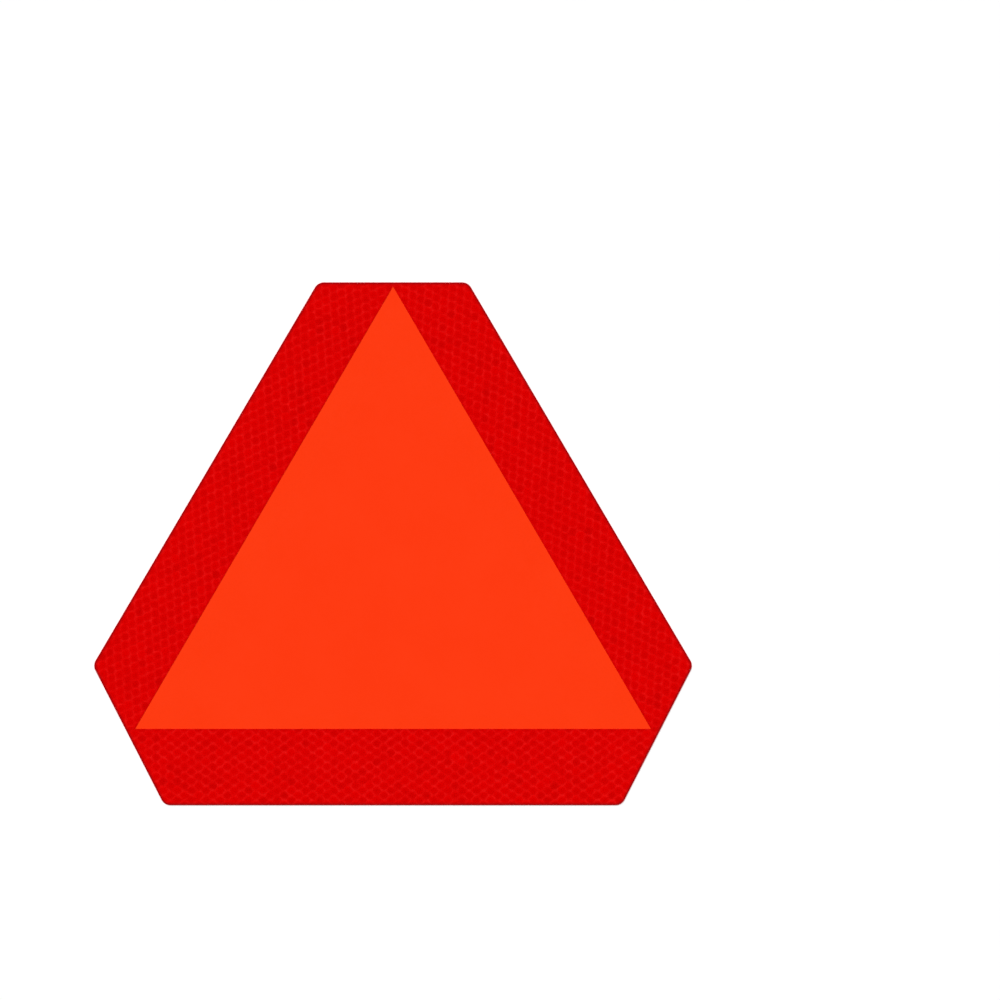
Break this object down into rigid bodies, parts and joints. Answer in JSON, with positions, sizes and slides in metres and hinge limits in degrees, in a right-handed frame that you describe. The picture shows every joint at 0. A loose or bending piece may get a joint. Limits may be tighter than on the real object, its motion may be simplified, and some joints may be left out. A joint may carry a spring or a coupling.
{
  "type": "slow moving vehicle sign",
  "caption": "Self-adhesive slow moving vehicle sign: orange triangle framed by red honeycomb reflective strips on a film with a release liner.",
  "frame": {"origin": "middle of the sheet's bounding rectangle, on the underside of the release liner, which is the face the sign lies on", "axes": "+Z out of the sign's face, +Y towards the triangle's apex, which is up when the sign is stuck on a vehicle, and +X to the right seen from the front"},
  "size_m": [0.4064, 0.3556, 0.0008],
  "materials": {
    "liner": "white coated liner, satin, printed with a pale grey honeycomb",
    "white_film": "white film, smooth",
    "red_tape": "red prismatic reflective tape, clear gloss face over sealed honeycomb cells",
    "orange_film": "fluorescent orange film, smooth satin gloss"
  },
  "bodies": {
    "root": {"release_liner": "liner", "base_film": "white_film", "left_strip": "red_tape", "right_strip": "red_tape", "bottom_strip": "red_tape", "orange_triangle": "orange_film"}
  },
  "joints": []
}
